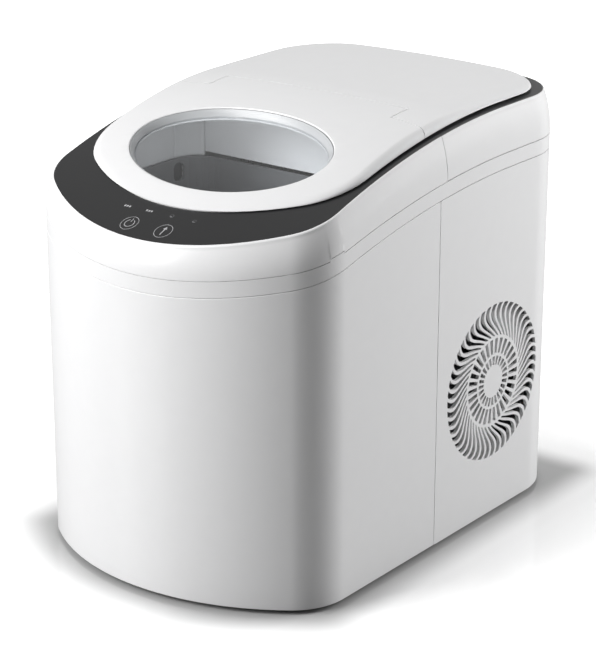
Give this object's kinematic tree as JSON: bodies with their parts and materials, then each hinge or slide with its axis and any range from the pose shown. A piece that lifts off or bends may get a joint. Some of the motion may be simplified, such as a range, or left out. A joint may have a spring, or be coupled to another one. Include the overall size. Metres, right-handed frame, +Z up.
{
  "type": "ice maker",
  "caption": "Countertop ice maker with a bowed white casing, a hinged lid with an oval window, a lift-out basket and a swirl air outlet on one side.",
  "frame": {"origin": "on the ground under the middle of the casing's box", "axes": "+X towards the side with the swirl air outlet, +Y towards the back, +Z up; the bowed front and the lid's free end face -Y"},
  "size_m": [0.242, 0.35, 0.3065],
  "materials": {
    "shell_white": "smooth gloss white moulding",
    "lid_white": "smooth gloss white moulding",
    "bezel_dark": "dark gloss control panel",
    "lens_white": "translucent white lens",
    "ring_grey": "light grey bevel",
    "window_clear": "clear moulded pane",
    "liner_grey": "light grey moulding",
    "basket_grey": "dark grey moulding",
    "tray_white": "white moulding",
    "motor_white": "white gearbox case",
    "plastic_black": "black moulding",
    "plastic_grey": "dark grey moulding",
    "fan_grey": "grey moulding",
    "rubber_dark": "dark grey rubber",
    "silicone": "translucent white silicone",
    "foam": "foamed-in insulation",
    "steel": "zinc plated",
    "nickel": "nickel plated",
    "aluminium": "mill finish",
    "copper": null,
    "enamel_black": "black enamel",
    "board_green": "green circuit board with its parts"
  },
  "bodies": {
    "casing": {"base_tray": "shell_white", "feet": "rubber_dark", "front_shell": "shell_white", "rear_shell": "shell_white", "shoulder_band": "shell_white", "top_frame_front": "shell_white", "top_frame_rear": "shell_white", "top_bezel": "bezel_dark", "control_board": "board_green", "indicator_lenses": "lens_white", "hinge_pins": "steel", "rear_cover": "lid_white", "inner_liner": "liner_grey", "insulation": "foam", "tray_motor": "motor_white", "evaporator": "nickel", "evaporator_cover": "tray_white", "ice_sensors": "plastic_black", "water_pump": "plastic_black", "pump_hose": "silicone", "compressor": "enamel_black", "compressor_grommets": "rubber_dark", "terminal_box": "plastic_black", "condenser_coil": "copper", "condenser_fins": "aluminium", "fan_shroud": "plastic_grey", "fan_motor": "plastic_black", "discharge_tube": "copper", "suction_tube": "copper", "capillary_tube": "copper", "filter_drier": "copper", "hot_gas_valve": "steel", "power_board": "board_green", "drain_hose": "silicone", "cord_gland": "plastic_black", "shell_screws": "steel"},
    "lid": {"lid_shell": "lid_white", "window_ring": "ring_grey", "lid_window": "window_clear", "lid_inner": "liner_grey", "lid_screws": "steel"},
    "basket": {"ice_basket": "basket_grey"},
    "tray": {"water_tray": "tray_white"},
    "pusher": {"ice_pusher": "tray_white"},
    "fan": {"fan_blades": "fan_grey"},
    "plug": {"drain_plug": "rubber_dark"}
  },
  "joints": [
    {"name": "lid_hinge", "type": "hinge", "parent": "casing", "child": "lid", "pos_m": [0, 0.011, 0.30184], "axis": [-1, 0, 0], "range_deg": [0, 108]},
    {"name": "basket_lift", "type": "slide", "parent": "casing", "child": "basket", "axis": [0, 0, 1], "range_m": [0, 0.008]},
    {"name": "tray_tilt", "type": "hinge", "parent": "casing", "child": "tray", "pos_m": [0, 0.039, 0.235], "axis": [1, 0, 0], "range_deg": [0, 75]},
    {"name": "pusher_swing", "type": "hinge", "parent": "casing", "child": "pusher", "pos_m": [0, 0.009, 0.284], "axis": [-1, 0, 0], "range_deg": [0, 60]},
    {"name": "fan_spin", "type": "hinge", "parent": "casing", "child": "fan", "pos_m": [0.101, 0.0705, 0.1038], "axis": [1, 0, 0], "continuous": true},
    {"name": "drain_plug_pull", "type": "slide", "parent": "casing", "child": "plug", "axis": [0, 1, 0], "range_m": [0, 0.015]}
  ],
  "couplings": [
    {"joint": "pusher_swing", "follows": "tray_tilt", "ratio": 0.8}
  ]
}
